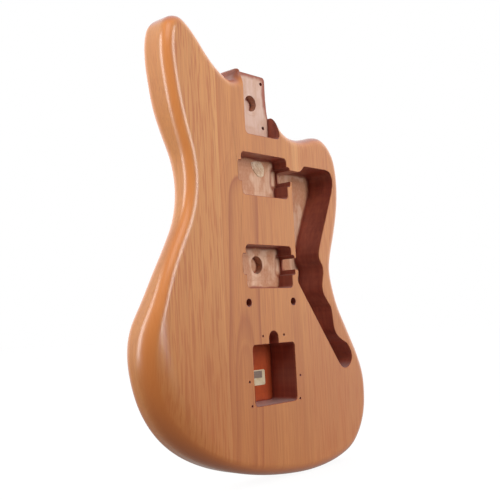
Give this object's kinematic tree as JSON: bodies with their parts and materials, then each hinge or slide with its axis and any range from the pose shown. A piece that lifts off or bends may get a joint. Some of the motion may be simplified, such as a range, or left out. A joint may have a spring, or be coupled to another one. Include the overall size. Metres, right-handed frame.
{
  "type": "electric guitar body",
  "caption": "Solid offset-waist electric guitar body with a bolt-on neck pocket, two pickup cavities, a control cavity, bridge-post sockets and a tremolo cavity; bare of hardware.",
  "frame": {"origin": "on the floor of the neck pocket, on the centre line, midway between the two neck screws nearest the pocket's end wall", "axes": "+Z along the strings towards the neck, +X across the body towards the treble side, -Y out of the front face (strings' side)"},
  "size_m": [0.348, 0.0413, 0.4797],
  "materials": {
    "bass_board_wood": "satin natural lacquer",
    "centre_board_wood": "satin natural lacquer; cavity walls darker where the lacquer pooled, floors bare",
    "treble_board_wood": "satin natural lacquer; cavity walls darker where the lacquer pooled, floors bare",
    "paper_label": "uncoated cream paper",
    "filler": "hardened putty, slightly glossy"
  },
  "bodies": {
    "root": {"bass_board": "bass_board_wood", "centre_board": "centre_board_wood", "treble_board": "treble_board_wood", "tremolo_cavity_label": "paper_label", "neck_pickup_filler": "filler"}
  },
  "joints": []
}
